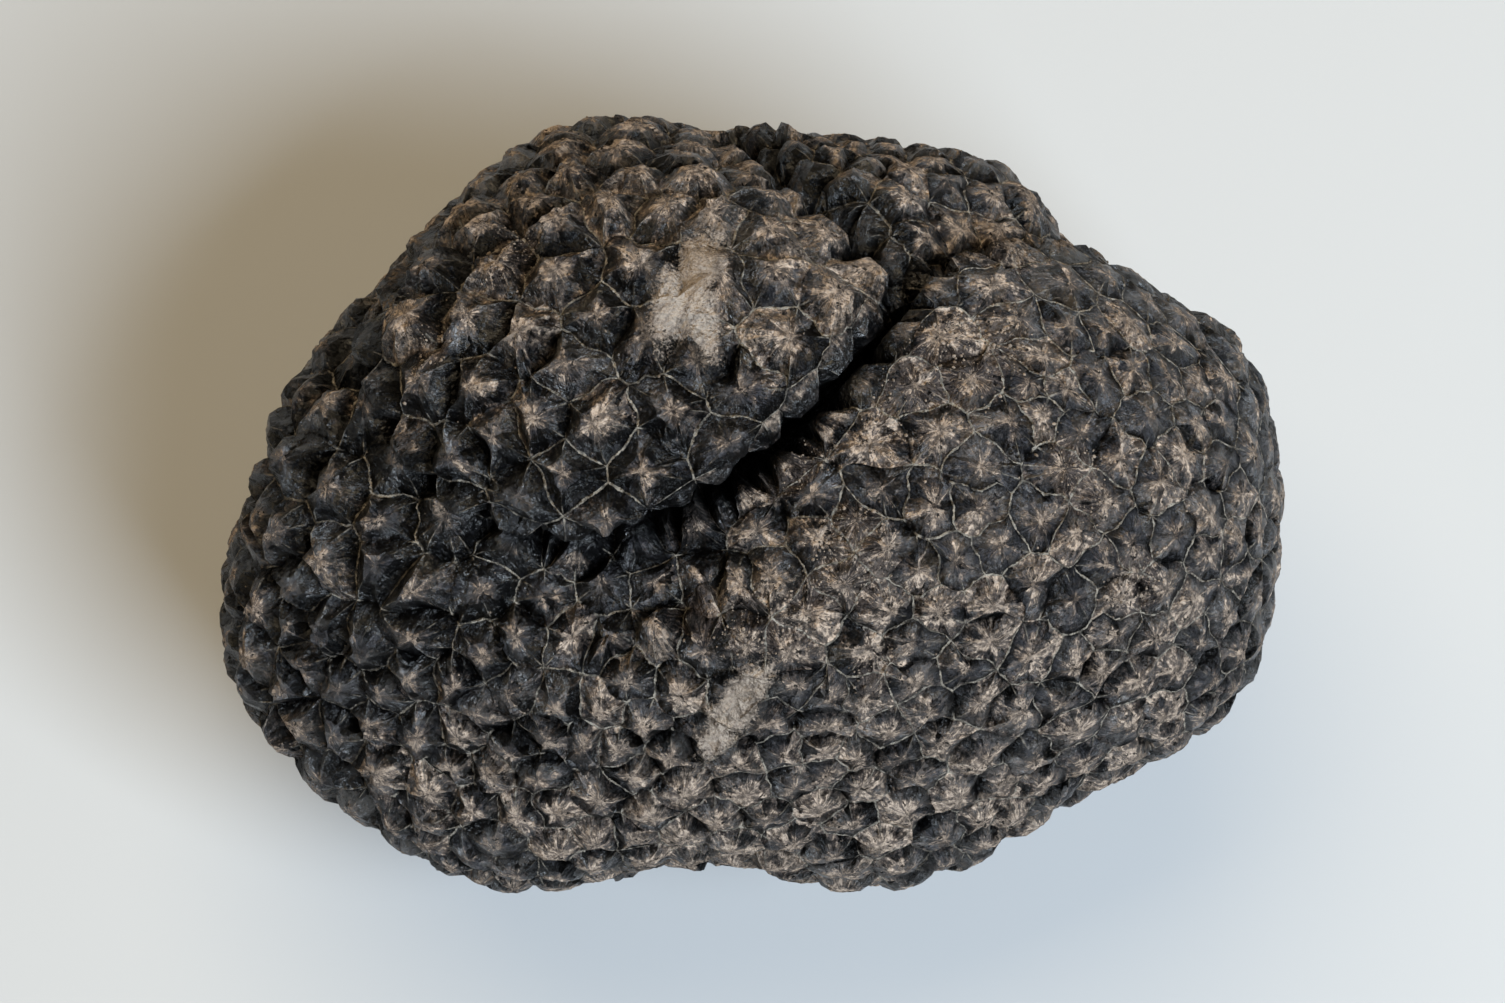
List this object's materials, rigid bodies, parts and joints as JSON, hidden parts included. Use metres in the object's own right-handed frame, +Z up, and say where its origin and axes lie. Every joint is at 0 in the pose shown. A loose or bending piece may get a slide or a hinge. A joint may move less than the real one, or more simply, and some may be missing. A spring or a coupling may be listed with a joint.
{
  "type": "black truffle",
  "caption": "Whole black truffle, a lumpy lobed underground fungus covered in low polygonal warts, with a deep crease between its lobes, lying on a small flat spot.",
  "frame": {"origin": "middle of the bounding box's underside, on the surface that the truffle lies on", "axes": "+X along the truffle's longest way, +Y from its front to its back, +Z up from the flat spot it rests on"},
  "size_m": [0.0672, 0.0478, 0.0439],
  "materials": {
    "truffle_skin": "rough black-brown warty skin with a faint sheen, tan scarred tips and thin pale lines between the warts"
  },
  "bodies": {
    "root": {"truffle": "truffle_skin"}
  },
  "joints": []
}
